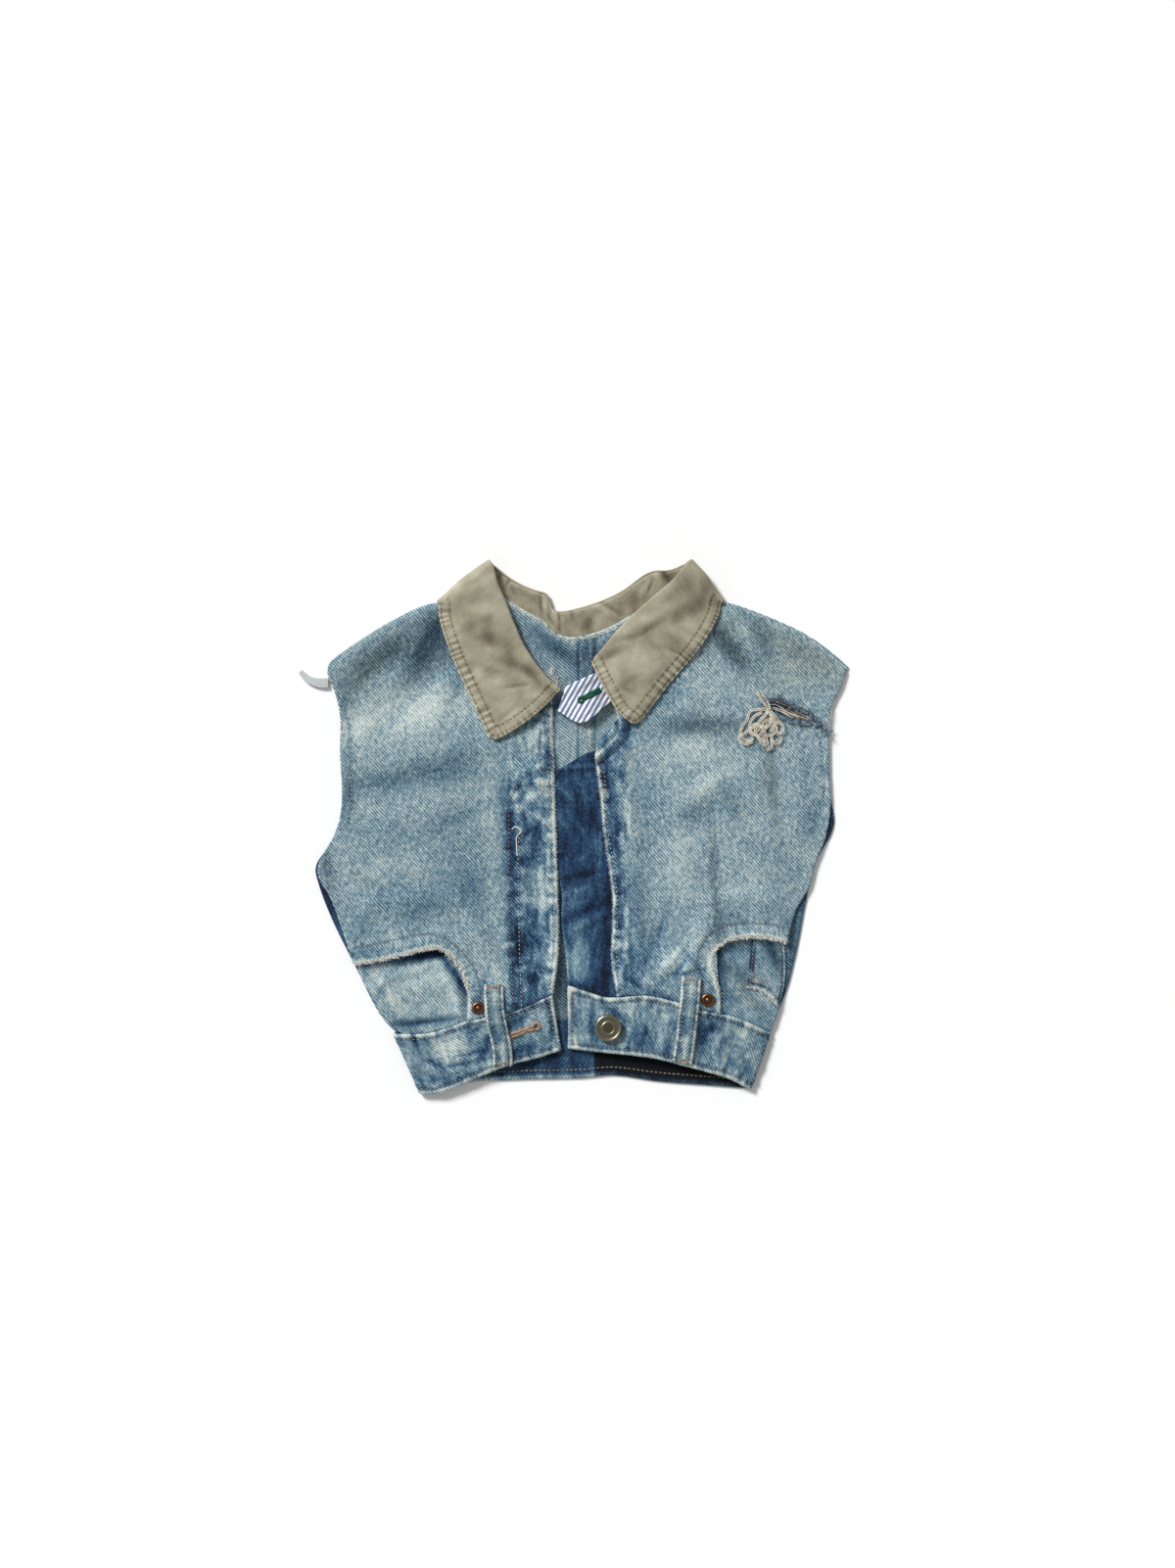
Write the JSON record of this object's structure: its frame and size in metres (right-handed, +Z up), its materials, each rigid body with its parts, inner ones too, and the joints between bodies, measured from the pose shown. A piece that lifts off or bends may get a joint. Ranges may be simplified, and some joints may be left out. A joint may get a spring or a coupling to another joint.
{
  "type": "denim vest",
  "caption": "Child's cropped sleeveless denim vest sewn from upturned jeans, with a khaki shirt collar and a buttoned waistband as its hem, laid flat on its back.",
  "frame": {"origin": "on the flat underside of the back, under the middle of the vest, where it rests on the surface", "axes": "+Z up from the surface the vest lies on, +Y towards the neck, +X to the right as seen from above (the wearer's left)"},
  "size_m": [0.3705, 0.3586, 0.0135],
  "materials": {
    "washed_denim": "stone-washed indigo denim, faded and mottled",
    "inner_denim": "the pale wrong side of the denim, with darker indigo at the sides",
    "band_denim": "denim waistband and belt loops, worn white at the edges",
    "dark_denim": "dark indigo denim that stayed covered",
    "pocket_denim": "grey-blue faded denim",
    "khaki_twill": "khaki cotton twill, double stitched",
    "striped_shirting": "blue and white striped cotton shirting",
    "antique_brass": "antique brass, bare face",
    "copper": "aged copper",
    "clear_tape": "clear elastic tape",
    "white_weft": "loose off-white cotton weft"
  },
  "bodies": {
    "root": {"back_left": "inner_denim", "back_right": "inner_denim", "front_left": "washed_denim", "front_right": "washed_denim", "waistband": "band_denim", "pocket_left": "pocket_denim", "pocket_right": "pocket_denim", "coin_pocket": "pocket_denim", "fly_shield": "dark_denim", "collar_fall": "khaki_twill", "collar_stand": "khaki_twill", "neck_tab": "striped_shirting", "belt_loop_left": "band_denim", "belt_loop_right": "band_denim", "rivet_left": "copper", "rivet_right": "copper", "shank_button": "antique_brass", "hanger_loop": "clear_tape", "rip_threads": "white_weft"}
  },
  "joints": []
}
